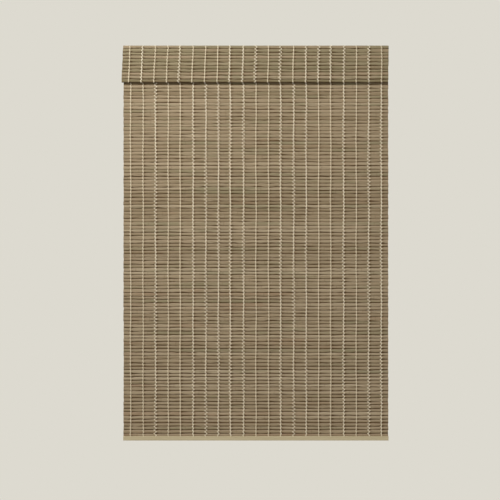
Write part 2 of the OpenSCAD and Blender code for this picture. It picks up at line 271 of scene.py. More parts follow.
class Graph(Nodes):
    """Node tree of one material, with its Principled shader."""

    def __init__(self, name: str) -> None:
        """Makes the material, with a shader and an output.

        Args:
            name: the material's name.
        """
        self.material = bpy.data.materials.new(name)
        super().__init__(self.material)
        self.shader = self.node("ShaderNodeBsdfPrincipled")
        self.output = self.node("ShaderNodeOutputMaterial", inputs={"Surface": self.shader.outputs[0]})

    def attribute(self, name: str) -> Term:
        """A number that the mesh stores at its points."""
        node = self.node("ShaderNodeAttribute", {"attribute_name": name})
        return Term(self, node.outputs["Fac"])

    def split(self, vector: NodeSocket) -> tuple[Term, Term, Term]:
        """A vector's three numbers."""
        node = self.node("ShaderNodeSeparateXYZ", inputs={0: vector})
        return tuple(Term(self, output) for output in node.outputs)

    def place(self) -> tuple[Term, Term, Term]:
        """The point's own coordinates, in metres."""
        return self.split(self.node("ShaderNodeTexCoord").outputs["Object"])

    def yarn_place(self) -> tuple[Term, Term]:
        """Turns round a yarn and length along it, from its own map."""
        return self.split(self.node("ShaderNodeUVMap", {"uv_map": "yarn"}).outputs[0])[:2]

    def noise(self, grain: Grain, x: Term, y: Term, z: Term) -> Term:
        """Smooth noise of about 0 to 1 at a point.

        Args:
            grain: how fine it is.
            x, y, z: the point, in metres, or with a slat's seed as one of its numbers.

        Returns:
            The noise.
        """
        point = self.node("ShaderNodeCombineXYZ", inputs={0: x * grain.x, 1: y * grain.y, 2: z * grain.z})
        inputs = {"Vector": point.outputs[0], "Scale": 1.0, "Detail": grain.layers}
        return Term(self, self.node("ShaderNodeTexNoise", inputs=inputs).outputs[0])

    def ramp(self, share: Term, places: tuple, colours: tuple) -> NodeSocket:
        """Colour at a share along a row of colours, each at its place."""
        return self.node("ShaderNodeValToRGB", {"stops": list(zip(places, colours))}, {0: share}).outputs[0]

    def mix(self, share: Term, first: object, second: object) -> NodeSocket:
        """Mixes two colours, which are inputs 6 and 7 and output 2 of a Mix node.

        Args:
            share: 0 for the first colour and 1 for the second.
            first: a colour or a colour socket.
            second: a colour or a colour socket.

        Returns:
            The mixed colour.
        """
        settings = {"data_type": "RGBA", "blend_type": "MIX", "clamp_factor": True}
        return self.node("ShaderNodeMix", settings, {0: share, 6: first, 7: second}).outputs[2]

    def bump(self, height: Term, distance: float, strength: float) -> None:
        """Raises the surface by a height, in metres of distance."""
        node = self.node("ShaderNodeBump", inputs={"Height": height, "Distance": distance, "Strength": strength})
        self.feed(self.shader.inputs["Normal"], node.outputs[0])

    def finish(self, **sockets: object) -> Material:
        """Feeds the shader.

        Args:
            sockets: values by the input's name, with _ for each space.

        Returns:
            The material.
        """
        for name, value in sockets.items():
            self.feed(self.shader.inputs[name.replace("_", " ")], value)
        return self.material


@dataclass(frozen=True)
class Bamboo:
    """Raw split bamboo: a tone for each slat, long grain streaks, joints, dark edges that are partly stain and partly
    painted shade, ragged painted shade along the lines between slats, and painted shadows beside the yarns.

    A value that ends in past holds a limit, a slope and a share for Term.past.
    """

    pale: tuple = linear(177, 161, 134)
    straw: tuple = linear(151, 134, 107)
    brown: tuple = linear(121, 104, 76)
    red: tuple = linear(142, 117, 90)
    olive: tuple = linear(128, 122, 92)
    # Dark brown of the cracks, and of the edge stain and painted shade along the lines between slats and beside the
    # yarns
    edge: tuple = linear(72, 46, 14)
    stops: tuple = (0.08, 0.5, 0.95)
    slat_shift: float = 9.0
    streak: Grain = Grain(7.0, 240.0, 520.0)
    streak_shift: float = 31.0 / 520.0
    streak_share: float = 0.9
    streak_height: float = 0.7
    fibre: Grain = Grain(40.0, 900.0, 2300.0, 2.0)
    fibre_share: float = 0.45
    fibre_height: float = 0.3
    patch: Grain = Grain(5.0, 17.0, 30.0, 1.0)
    patch_share: float = 1.5
    red_past: tuple = (0.75, 3.0, 0.6)
    olive_past: tuple = (0.3, -3.0, 0.55)
    joint_spacing: float = 310 * MM
    joint_width: float = 3.5 * MM
    joint_share: float = 0.35
    joint_height: float = 0.8
    crack: Grain = Grain(11.0, 5.0, 700.0, 1.0)
    crack_past: tuple = (0.62, 7.0)
    crack_share: float = 0.55
    ragged: Grain = Grain(16.0, 23.0, 160.0, 2.0)
    ragged_share: float = 1.1
    # Painted shade along the lines between slats, ragged by a noise: the rim's share, the noise's share and the limit
    rim_share: float = 0.75
    gap_past: tuple = (0.95, 3.2, 0.5)
    # Painted shadow that each yarn casts just to its right: its place between two warps, its sharpness and its share
    yarn_shadow_place: float = 0.07
    yarn_shadow_power: float = 7.0
    yarn_shadow_share: float = 1.3
    # Edge stain and painted shade: its share at the edges, and the share of all painted darkness in the colour
    edge_share: float = 0.68
    stain_and_shade_share: float = 0.92
    relief: float = 0.35 * MM
    strength: float = 0.6
    gloss: float = 0.2
    roughness: float = 0.5
    rough_rise: float = 0.25

    def material(self) -> Material:
        """Colour is the slat's tone plus streaks along the slat, tinted in places.

        It darkens at the slat's edges, partly as stain and partly as painted shade in the lines between slats; where a
        noise along the slat passes a limit, as cracks and as ragged painted shade along those lines; and where a
        cosine power of the place between two warps peaks, which is a painted shadow beside each yarn.

        Returns:
            The material.
        """
        g = Graph("bamboo")
        x, y, z = g.place()
        seed, rim = g.attribute("seed"), g.attribute("rim")
        shifted = x + seed * self.slat_shift
        streak = g.noise(self.streak, shifted, y, z + seed * self.streak_shift)
        fibre = g.noise(self.fibre, shifted, y, z)
        patch, crack, ragged = (g.noise(grain, shifted, seed, z) for grain in (self.patch, self.crack, self.ragged))
        tone = g.attribute("tone") + (streak - 0.5) * self.streak_share + (fibre - 0.5) * self.fibre_share
        wood = g.ramp(tone.clamp(), self.stops, (self.brown, self.straw, self.pale))
        warmth = g.attribute("warmth") + (patch - 0.5) * self.patch_share
        wood = g.mix(warmth.past(*self.red_past), wood, self.red)
        wood = g.mix(warmth.past(*self.olive_past), wood, self.olive)
        cycle = (shifted * (1 / self.joint_spacing)).math("FRACT") - 0.5
        joint = (1.0 - cycle.math("ABSOLUTE") * (self.joint_spacing / self.joint_width)).clamp()
        wood = g.mix(joint * self.joint_share, wood, self.brown)
        cracked = crack.past(*self.crack_past)
        wood = g.mix(cracked * self.crack_share, wood, self.edge)
        # Painted shade along the lines between slats, ragged by a noise along the slat
        gap = (rim * self.rim_share + ragged * self.ragged_share).past(*self.gap_past)
        # Painted shadow beside each yarn, where a cosine power of the place between warps peaks just right of each
        # warp
        yarn_shadow = ((g.attribute("warp") - self.yarn_shadow_place) * math.tau).wave("COSINE") ** self.yarn_shadow_power
        # Edge stain, painted shade along the lines between slats and painted yarn shadows, mixed into the colour
        stain_and_shade = g.attribute("edge") * self.edge_share + gap + yarn_shadow * rim * self.yarn_shadow_share
        wood = g.mix(stain_and_shade.clamp() * self.stain_and_shade_share, wood, self.edge)
        height = streak * self.streak_height + fibre * self.fibre_height + joint * self.joint_height - cracked
        g.bump(height, self.relief, self.strength)
        rough = self.roughness + streak * self.rough_rise
        return g.finish(Base_Color=wood, Roughness=rough, Specular_IOR_Level=self.gloss)


@dataclass(frozen=True)
class Yarn:
    """Soft cotton yarn: plies wind round it, with painted shade in the hollows between them, and a painted highlight
    on the loose, beaded yarns.
    """

    light: tuple = linear(214, 202, 174)
    # Colour of the hollows between plies, which is painted shade
    ply_shade: tuple = linear(160, 144, 114)
    # Pale colour on beaded yarns and its share, a painted highlight
    bead_highlight: tuple = linear(246, 237, 213)
    bead_highlight_share: float = 0.42
    stops: tuple = (0.15, 0.75)
    plies: int = 2
    ply_length: float = 3.2 * MM
    ply_share: float = 0.55
    ply_height: float = 0.7
    fuzz: Grain = Grain(1400.0, 1400.0, 700.0)
    fuzz_height: float = 0.5
    dirt: Grain = Grain(30.0, 30.0, 9.0)
    noise_share: float = 0.35
    relief: float = 0.3 * MM
    strength: float = 0.7
    roughness: float = 0.85
    sheen: float = 0.2

    def material(self) -> Material:
        """Colour and height follow the sine of turns round the yarn plus length along it, with loose fibre noise; the
        darker hollows are painted shade, and the beaded yarns' paler colour is a painted highlight.

        Returns:
            The material.
        """
        g = Graph("yarn")
        turn, length = g.yarn_place()
        place = g.place()
        ply = (turn * (math.tau * self.plies) + length * (math.tau / self.ply_length)).wave()
        fuzz, dirt = g.noise(self.fuzz, *place), g.noise(self.dirt, *place)
        share = ply * self.ply_share + (fuzz + dirt) * self.noise_share
        colour = g.ramp(share.clamp(), self.stops, (self.ply_shade, self.light))
        # Painted highlight on the beaded yarns
        colour = g.mix(g.attribute("beaded") * self.bead_highlight_share, colour, self.bead_highlight)
        g.bump(ply * self.ply_height + fuzz * self.fuzz_height, self.relief, self.strength)
        return g.finish(Base_Color=colour, Roughness=self.roughness, Sheen_Weight=self.sheen)


@dataclass(frozen=True)
class Grained:
    """A finish of two noises. The fine one has its own share of the colour, of the relief and of the roughness."""

    name: str
    light: tuple
    dark: tuple
    stops: tuple
    coarse: Grain
    fine: Grain
    fine_colour: float
    fine_relief: float
    fine_rough: float
    relief: float
    strength: float
    roughness: float
    rough_rise: float
    metallic: float = 0.0
    milkiness: float = 0.0

    def material(self) -> Material:
        """Colour, height and roughness each follow a weighted mean of the two noises.

        Returns:
            The material.
        """
        g = Graph(self.name)
        place = g.place()
        coarse, fine = g.noise(self.coarse, *place), g.noise(self.fine, *place)
        shares = (self.fine_colour, self.fine_relief, self.fine_rough)
        tone, height, rough = (coarse * (1.0 - share) + fine * share for share in shares)
        g.bump(height, self.relief, self.strength)
        return g.finish(
            Base_Color=g.ramp(tone.clamp(), self.stops, (self.dark, self.light)),
            Roughness=self.roughness + rough * self.rough_rise,
            Metallic=self.metallic,
            Subsurface_Weight=self.milkiness,
        )


# Planed pale wood, with straight grain along X and fine pores
PALE_WOOD = Grained(
    "pale_wood", linear(200, 188, 155), linear(172, 158, 126), stops=(0.3, 0.7),
    coarse=Grain(3.0, 260.0, 260.0), fine=Grain(60.0, 1600.0, 1600.0, 2.0),
    fine_colour=0.2, fine_relief=0.5, fine_rough=1.0,
    relief=0.12 * MM, strength=0.4, roughness=0.42, rough_rise=0.2,
)
# Satin paint on rolled steel, with handling marks and faint orange peel
RAIL_PAINT = Grained(
    "rail_paint", linear(209, 204, 190), linear(191, 185, 170), stops=(0.35, 0.6),
    coarse=Grain(9.0, 60.0, 60.0), fine=Grain(900.0, 900.0, 900.0, 1.0),
    fine_colour=0.0, fine_relief=1.0, fine_rough=0.0,
    relief=0.05 * MM, strength=0.5, roughness=0.34, rough_rise=0.16,
)
# Bright zinc on stamped steel, with clouds and with drawing lines along X
ZINC = Grained(
    "zinc", linear(196, 200, 204), linear(150, 155, 160), stops=(0.3, 0.7),
    coarse=Grain(60.0, 60.0, 60.0), fine=Grain(14.0, 1500.0, 1500.0),
    fine_colour=0.5, fine_relief=1.0, fine_rough=1.0,
    relief=0.04 * MM, strength=0.4, roughness=0.24, rough_rise=0.25, metallic=1.0,
)
# Moulded nylon, milky, with a fine spark-eroded grain
NYLON = Grained(
    "nylon", linear(229, 224, 209), linear(214, 208, 190), stops=(0.35, 0.65),
    coarse=Grain(45.0, 45.0, 45.0), fine=Grain(1800.0, 1800.0, 1800.0, 1.0),
    fine_colour=0.0, fine_relief=1.0, fine_rough=1.0,
    relief=0.05 * MM, strength=0.5, roughness=0.4, rough_rise=0.2, milkiness=0.08,
)


@dataclass(frozen=True)
class SpringTurns:
    """Blued spring strip, wound in fine turns that show on the coil's ends, with painted shade in the lines between
    turns.
    """

    axis_y: float
    axis_z: float
    light: tuple = linear(128, 134, 144)
    # Colour of the lines between turns, which is painted shade
    dark: tuple = linear(52, 58, 70)
    stops: tuple = (0.2, 0.8)
    turn_pitch: float = 0.24 * MM
    turn_share: float = 0.6
    film: Grain = Grain(120.0, 200.0, 200.0)
    relief: float = 0.08 * MM
    strength: float = 0.6
    roughness: float = 0.22
    rough_rise: float = 0.2

    def material(self) -> Material:
        """Colour and height follow the sine of the distance from the coil's axis, under a film of noise.

        Returns:
            The material.
        """
        g = Graph("spring_steel")
        x, y, z = g.place()
        distance = ((y - self.axis_y) ** 2.0 + (z - self.axis_z) ** 2.0) ** 0.5
        turns = (distance * (math.tau / self.turn_pitch)).wave()
        film = g.noise(self.film, x, y, z)
        share = turns * self.turn_share + film * (1.0 - self.turn_share)
        # Dark bands between the turns are painted shade
        colour = g.ramp(share.clamp(), self.stops, (self.dark, self.light))
        g.bump(turns, self.relief, self.strength)
        return g.finish(Base_Color=colour, Metallic=1.0, Roughness=self.roughness + film * self.rough_rise)


@dataclass(frozen=True)
class HookTape:
    """Dark woven fastening tape with rows of tiny hooks, with painted shade in the hollows between them."""

    thread: tuple = linear(74, 66, 54)
    # Colour of the hollows between hooks, which is painted shade
    gap: tuple = linear(38, 33, 26)
    stops: tuple = (0.25, 0.75)
    row: float = 1.6 * MM
    hook_share: float = 0.6
    fuzz: Grain = Grain(900.0, 900.0, 900.0)
    relief: float = 0.4 * MM
    strength: float = 0.8
    roughness: float = 0.9

    def material(self) -> Material:
        """Height is the product of two sines, across and along the tape, and colour follows it with fuzz.

        Returns:
            The material.
        """
        g = Graph("tape")
        x, y, z = g.place()
        across, along = ((way * (math.tau / self.row)).math("SINE") for way in (z, x))
        hooks = (across * along) * 0.5 + 0.5
        share = hooks * self.hook_share + g.noise(self.fuzz, x, y, z) * (1.0 - self.hook_share)
        # Darker in the hollows between hooks, as painted shade
        colour = g.ramp(share.clamp(), self.stops, (self.gap, self.thread))
        g.bump(hooks, self.relief, self.strength)
        return g.finish(Base_Color=colour, Roughness=self.roughness)


def drift(rng: np.random.Generator, count: int, along: np.ndarray, fastest: float = 9.0) -> np.ndarray:
    """Smooth seeded wander: a sum of five cosines of random pace and phase, of unit deviation.

    Args:
        rng: the seeded source.
        count: number of separate wanders.
        along: places from 0 to 1.
        fastest: most waves along the whole length.

    Returns:
        Array of count by places.
    """
    waves = 5
    pace = rng.uniform(1.0, fastest, (count, waves, 1))
    phase = rng.uniform(0.0, math.tau, (count, waves, 1))
    return np.cos(math.tau * pace * along + phase).sum(axis=1) * math.sqrt(2 / waves)


def tube_faces(tubes: int, rings: int, corners: int) -> tuple[np.ndarray, np.ndarray]:
    """Four-sided faces of closed tubes whose points are numbered tube by tube, ring by ring.

    Sides join each ring to the next, and each end is closed by strips that join opposite corners.

    Args:
        tubes: number of tubes.
        rings: rings in each tube.
        corners: corners in each ring, an even number.

    Returns:
        The faces, sides first, and the side faces' corner places as (corner, ring) pairs.
    """
    index = np.arange(tubes * rings * corners).reshape(tubes, rings, corners)
    here, after = index[:, :-1], index[:, 1:]
    sides = np.stack([here, np.roll(here, -1, 2), np.roll(after, -1, 2), after], axis=-1).reshape(-1, 4)
    strip = np.arange(corners // 2 - 1)
    cap = np.stack([strip, strip + 1, corners - 2 - strip, corners - 1 - strip], axis=-1)
    first = index[:, 0][:, cap[:, [1, 0, 3, 2]]].reshape(-1, 4)
    last = index[:, -1][:, cap].reshape(-1, 4)
    ring, corner = np.meshgrid(np.arange(rings - 1), np.arange(corners), indexing="ij")
    chart = np.stack([
        np.stack([corner, corner + 1, corner + 1, corner], axis=-1),
        np.stack([ring, ring, ring + 1, ring + 1], axis=-1),
    ], axis=-1)
    chart = np.broadcast_to(chart, (tubes, *chart.shape)).reshape(-1, 4, 2)
    return np.concatenate([sides, first, last]), chart


def outward(points: np.ndarray, faces: np.ndarray) -> np.ndarray:
    """Turns the faces over if the volume that they enclose, summed over corner triples, is negative.

    Args:
        points: coordinates, one point to a row.
        faces: the numbers of each face's four points.

    Returns:
        The faces, looking outwards.
    """
    a, b, c, d = (points[faces[:, i]] for i in range(4))
    return faces if (np.cross(a, b) * c + np.cross(a, c) * d).sum() > 0 else faces[:, ::-1]


def mesh_piece(name: str, points: np.ndarray, finish: Material,
               numbers: dict[str, np.ndarray] | None = None, along: np.ndarray | None = None) -> Object:
    """Makes one object from closed tubes.

    Args:
        name: the piece's name.
        points: array of tube, ring, corner and coordinate, in metres.
        finish: its material.
        numbers: named numbers for each point, in the points' order.
        along: length along the tube at each ring, which adds the yarn map.

    Returns:
        The new object.
    """
    tubes, rings, corners, _ = points.shape
    faces, chart = tube_faces(tubes, rings, corners)
    flat = points.reshape(-1, 3)
    turned = outward(flat, faces)
    mesh = bpy.data.meshes.new(name)
    mesh.from_pydata(flat.tolist(), [], turned.tolist())
    for key, values in (numbers or {}).items():
        store = mesh.attributes.new(key, "FLOAT", "POINT")
        store.data.foreach_set("value", np.ascontiguousarray(values, dtype=np.float32).ravel())
    if along is not None:
        chart = chart if turned is faces else chart[:, ::-1]
        places = np.zeros((len(faces), 4, 2), dtype=np.float32)
        places[: len(chart), :, 0] = chart[..., 0] / corners
        places[: len(chart), :, 1] = along[chart[..., 1]]
        mesh.uv_layers.new(name="yarn").data.foreach_set("uv", places.ravel())
    mesh.shade_smooth()
    mesh.set_sharp_from_angle(angle=SHARP_ANGLE)
    mesh.materials.append(finish)
    piece = bpy.data.objects.new(name, mesh)
    bpy.context.scene.collection.objects.link(piece)
    log.info("%s: %d faces", name, len(faces))
    return piece


@dataclass
class Weave:
    """The yarns of one mat: pairs that twist round the slats, one in front of each slat and one behind.

    Places down the mat are counted in slats from its top: a slat's middle is half way between two whole numbers.
    """

    top: float
    pitch: float
    depth: float
    warp_x: np.ndarray
    rng: np.random.Generator
    half_slat: float
    bulge: float = 1.2
    yarn_width: float = 4.5 * MM
    yarn_thickness: float = 0.95 * MM
    corners: int = 6
    stations: tuple = (0.0, 0.03, 0.12, 0.27, 0.5, 0.73, 0.88, 0.97)
    beaded_share: float = 0.68
    slant: float = 4.5 * MM
    twined_slants: tuple = (0.1, 0.45)
    beaded_slants: tuple = (0.8, 1.15)
    shift_every: int = 4
    warp_shift: float = 2.2 * MM
    arch_power: float = 0.15
    twined_waist: float = 0.8
    bead_stand: float = 1.3
    bead_stoutness: float = 1.6
    bead_waist: float = 0.6
    bead_swell: float = 0.6
    loose_pace: float = 0.19
    loose_swing: float = 0.28
    stray: float = 0.7 * MM
    stray_paces: tuple = (0.21, 0.67)
    stray_second: float = 0.6
    folds: np.ndarray = field(default_factory=lambda: np.zeros(0))
    flat_reach: float = 0.3
    flat_fade: float = 0.7
    lean: np.ndarray = field(init=False)
    twined: np.ndarray = field(init=False)
    wander: np.ndarray = field(init=False)
    hand: np.ndarray = field(init=False)
    warp_pitch: float = field(init=False)

    def __post_init__(self) -> None:
        """Draws each pair's lay and lean, and moves every fourth warp a little left, as the loom did."""
        count = len(self.warp_x)
        odds = [self.beaded_share, 1.0 - self.beaded_share]
        lays = self.rng.choice([Lay.BEADED.value, Lay.TWINED.value], count, p=odds)
        self.twined = lays == Lay.TWINED.value
        slight, strong = (self.rng.uniform(*slants, count) for slants in (self.twined_slants, self.beaded_slants))
        self.lean = self.slant * np.where(self.twined, slight, strong)
        self.warp_pitch = float(self.warp_x[1] - self.warp_x[0])
        number = np.arange(count)
        moved = (number % self.shift_every == 0) & (number > 0) & (number < count - 1)
        self.warp_x = self.warp_x - np.where(moved, self.warp_shift, 0.0)
        self.wander = self.rng.uniform(0.0, math.tau, (count, 2))
        self.hand = self.rng.choice([-1.0, 1.0], count)

    def places(self, first: float, last: float) -> np.ndarray:
        """Stations down the mat, close together where the yarns cross between slats.

        Args:
            first: the first station's place.
            last: the last station's place.

        Returns:
            The stations' places, rising.
        """
        cells = np.arange(math.floor(first), math.ceil(last))
        inside = (cells[:, None] + np.array(self.stations)).ravel()
        inside = inside[(inside > first + TINY) & (inside < last - TINY)]
        return np.concatenate([[first], inside, [last]])

    def fluffed(self, place: np.ndarray) -> np.ndarray:
        """Share of a bead's full stoutness: 1, falling to 0 near a fold line, where the folded mat flattens it."""
        near = np.abs(place[:, None] - self.folds).min(axis=1, initial=math.inf)
        return np.clip((near - self.flat_reach) / self.flat_fade, 0.0, 1.0)

    def yarns(self, place: np.ndarray) -> np.ndarray:
        """Surface points of all yarns at places down the mat.

        In its slat's cell a yarn stands off the mat by a flattened half sine, to the front in one cell and to the
        back in the next, and a beaded yarn stands off further. A twined pair leans evenly across each slat, each yarn
        with the side that it is on. A beaded pair follows a cosine, to one side on each slat and to the other side
        between slats, and grows looser and tighter by a slow sine. Both stray sideways by a sum of two slow sines.
        The yarn's section is an ellipse, slimmer between slats, or half way between two beads.

        Args:
            place: rising places, in slats from the mat's top.

        Returns:
            Points of yarn, place, corner and coordinate.
        """
        cell = np.floor(np.minimum(place, place[-1] - TINY))
        share = place - cell
        side = np.where(cell % 2 == 0, 1.0, -1.0)[None] * np.array([1.0, -1.0])[:, None]
        twined = self.twined[:, None, None]
        beaded = ~twined * self.fluffed(place)
        arch = np.sin(math.pi * np.clip(share, 0.0, 1.0))
        stand_off = self.half_slat * self.bulge + self.yarn_thickness / 2
        out = stand_off * (1.0 + (self.bead_stand - 1.0) * beaded) * arch ** self.arch_power
        leaning = (2 * share - 1) * side
        waving = self.hand[:, None, None] * np.cos(math.tau * share)
        loose = 1.0 - self.loose_swing + self.loose_swing * np.sin(place * self.loose_pace + self.wander[:, None, 1:])
        sway = np.where(twined, leaning, waving * loose)
        first, second = (np.sin(place * pace + self.wander[:, i, None]) for i, pace in enumerate(self.stray_paces))
        middle = self.warp_x[:, None] + (first + self.stray_second * second) * self.stray
        x = middle[:, None] + self.lean[:, None, None] * sway
        y = np.broadcast_to(self.depth - side * out, x.shape)
        z = np.broadcast_to(self.top - place * self.pitch, x.shape)
        path = np.stack([x, y, z], axis=-1).reshape(-1, len(place), 3)
        run = np.gradient(path, axis=1)
        away = np.stack([np.zeros_like(run[..., 0]), -run[..., 2], run[..., 1]], axis=-1)
        away /= np.linalg.norm(away, axis=-1, keepdims=True)
        angle = np.arange(self.corners) * (math.tau / self.corners)
        bead = self.bead_waist + self.bead_swell * np.abs(np.cos(math.tau * share))
        plump = np.where(twined, self.twined_waist + (1.0 - self.twined_waist) * arch, bead)
        stout = 1.0 + (self.bead_stoutness - 1.0) * beaded
        plump, stout = (np.broadcast_to(v, x.shape).reshape(-1, len(place), 1, 1) for v in (plump, stout))
        across = np.array([1.0, 0.0, 0.0]) * (self.yarn_width / 2 * plump)
        up = away[:, :, None] * (self.yarn_thickness / 2 * stout)
        ring = np.cos(angle)[:, None] * across + np.sin(angle)[:, None] * up
        return path[:, :, None] + ring

    def loose_yarns(self, points: np.ndarray) -> dict[str, np.ndarray]:
        """The number that the yarn's finish reads at each point: 1 on a beaded yarn and 0 on a twined one."""
        beaded = np.repeat(~self.twined, 2).astype(float)[:, None, None]
        return {"beaded": np.broadcast_to(beaded, points.shape[:3])}


@dataclass
class Mat:
    """One stiff section of the woven mat: a few slats and the yarns that bind them."""

    name: str
    body: str
    weave: Weave
    rng: np.random.Generator
    bamboo: Material
    yarn: Material
    segments: int = 64
    trim: float = 1.6 * MM
    fold_gap: float = 0.02 * MM
    lip_gap: float = 0.05 * MM
    line_reach: float = 0.3 * MM
    line_jitter: float = 0.75 * MM
    line_slope: float = 0.9 * MM
    line_wander: float = 0.5 * MM
    line_waves: float = 20.0
    line_limit: float = 2.2 * MM
    tilt: float = 0.03
    tilt_limit: float = 0.09
    thick_wander: float = 0.06
    thick_waves: float = 5.0
    depth_limit: float = 1.45
    touch_top: float = 0.78
    touch_fall: float = 0.0058
    touch_jitter: float = 0.2
    touch_wander: float = 0.31
    touch_waves: float = 16.0
    touch_limit: float = 0.95
    rim_close: float = 0.3
    tone_top: float = 0.45
    # Slats paler down the mat: painted light against the darkening towards the bottom
    painted_light_rise: float = 0.0019
    tone_jitter: float = 0.11
    warmth_top: float = -0.12
    warmth_rise: float = 0.0014
    warmth_range: tuple = (0.2, 0.8)
    top_inset: float = 0.02
    yarn_inset: float = 0.22
    left: float = field(init=False)
    right: float = field(init=False)
    first: int = field(init=False)
    last: int = field(init=False)

    # Shares of a slat's height and half thickness round its section: its lower tongue, front, upper lip and back,
    # where it stands clear of the next slat and where it touches it
    SECTION = np.array([
        [-0.58, 0.92], [-0.47, 0.45], [-0.40, -0.40], [-0.27, -0.88], [0.03, -1.0], [0.27, -0.95],
        [0.42, -0.78], [0.49, -0.40], [0.46, -0.02], [0.34, 0.62], [0.0, 0.85], [-0.40, 1.0],
    ])
    CLOSED = np.array([
        [-0.58, 0.92], [-0.49, 0.30], [-0.475, -0.50], [-0.38, -0.90], [0.03, -1.0], [0.27, -0.97],
        [0.44, -0.86], [0.495, -0.45], [0.46, -0.02], [0.34, 0.62], [0.0, 0.85], [-0.40, 1.0],
    ])
    # Darkness of the section's corners, clear and touching, partly edge stain and partly painted shade along the lines
    # between slats, and how near each corner is to the line between slats
    EDGE = np.array([1.0, 1.0, 1.0, 0.56, 0.0, 0.0, 0.0, 0.25, 0.9, 0.4, 0.1, 0.4])
    CLOSED_EDGE = np.array([1.0, 0.9, 0.4, 0.05, 0.0, 0.0, 0.0, 0.15, 0.9, 0.4, 0.1, 0.4])
    RIM = np.array([1.0, 1.0, 1.0, 0.6, 0.0, 0.0, 0.45, 0.9, 1.0, 0.5, 0.1, 0.5])
    # Front and back corners of the section that reach a fold line, at its upper and at its lower edge
    UPPER_LIPS = (7, 9)
    LOWER_LIPS = (1, 0)

    def __post_init__(self) -> None:
        """Takes the section's place from its CAD slats."""
        low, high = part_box(f"{self.name}_slats")
        self.left, self.right = low[0], high[0]
        self.first = round((self.weave.top - high[2]) / self.weave.pitch)
        self.last = round((self.weave.top - low[2]) / self.weave.pitch)

    def settle(self, points: np.ndarray) -> np.ndarray:
        """Where the mat's points come to hang. A section of the shade hangs straight."""
        return points

    def lower_end(self) -> float:
        """Height that no slat of the section reaches below."""
        return self.weave.top - self.last * self.weave.pitch + self.fold_gap

    def fold_depths(self) -> tuple[list[float], list[float]]:
        """Depths of the hinge axes on the section's fold lines, from the record.

        Returns:
            The depths on its upper line and on its lower line, empty where it doesn't fold.
        """
        joints = frame["record"]["behaviour"]["joints"]
        upper = [j["pos_m"][1] for j in joints if j["child"] == self.body]
        lower = [j["pos_m"][1] for j in joints if j["parent"] == self.body and j["child"] in SHADE_SECTIONS]
        return upper, lower

    def reach_folds(self, y: np.ndarray, z: np.ndarray, edge: np.ndarray) -> None:
        """Brings one corner of the first and last slats to the hinge axis, so that a folded line stays closed, and
        paints it fully dark, as painted shade like the line between slats.

        Args:
            y: depths of slat, station and corner, changed in place.
            z: heights of the same points, changed in place.
            edge: darkness of the same points, edge stain and painted shade, changed in place.
        """
        upper, lower = self.fold_depths()
        for axes, slat, line, lips in ((upper, 0, z.max(), self.UPPER_LIPS), (lower, -1, z.min(), self.LOWER_LIPS)):
            for axis in axes:
                in_front = axis < self.weave.depth
                corner = lips[0] if in_front else lips[1]
                y[slat, :, corner] = axis + (self.lip_gap if in_front else -self.lip_gap)
                z[slat, :, corner] = line
                edge[slat, :, corner] = 1.0

    def slat_tones(self) -> np.ndarray:
        """Tone of each slat, from 0 for brown to 1 for pale, a little paler down the mat, as painted light against the
        darkening towards the bottom.
        """
        lower = self.tone_top + self.painted_light_rise * np.arange(self.first, self.last)[:, None, None]
        return lower + self.rng.normal(0.0, self.tone_jitter, (self.last - self.first, 1, 1))

    def slat_warmth(self) -> np.ndarray:
        """Warmth of each slat, from 0 for olive to 1 for red, a little warmer down the mat."""
        lower = self.warmth_top + self.warmth_rise * np.arange(self.first, self.last)[:, None, None]
        return lower + self.rng.uniform(*self.warmth_range, (self.last - self.first, 1, 1))

    def slat_lines(self, along: np.ndarray) -> np.ndarray:
        """Heights of the lines where slats meet: even steps, each moved, sloped and waved a little by the seed.

        Args:
            along: places along the slat, from 0 to 1.

        Returns:
            Array of line by place. The first and last lines are straight, because the mat folds there, and the first
            is a little high, so that the slat's lip reaches the fold line.
        """
        count = self.last - self.first
        even = self.weave.top - (self.first + np.arange(count + 1)[:, None]) * self.weave.pitch
        moved = self.rng.normal(0.0, self.line_jitter, (count + 1, 1))
        sloped = self.rng.normal(0.0, self.line_slope, (count + 1, 1)) * (along - 0.5)
        waved = drift(self.rng, count + 1, along, self.line_waves) * self.line_wander
        stray = moved + sloped + waved
        stray[0], stray[-1] = self.line_reach, 0.0
        return even + np.clip(stray, -self.line_limit, self.line_limit)

    def slat_touch(self, along: np.ndarray) -> np.ndarray:
        """Share by which each slat touches its neighbours, which wanders, and falls evenly down the mat.

        Args:
            along: places along the slat, from 0 to 1.

        Returns:
            Array of slat, place and one share.
        """
        close = self.touch_top - self.touch_fall * np.arange(self.first, self.last)[:, None]
        touch = self.rng.normal(0.0, self.touch_jitter, close.shape) + close
        touch = touch + drift(self.rng, len(close), along, self.touch_waves) * self.touch_wander
        return np.clip(touch, 0.0, self.touch_limit)[..., None]

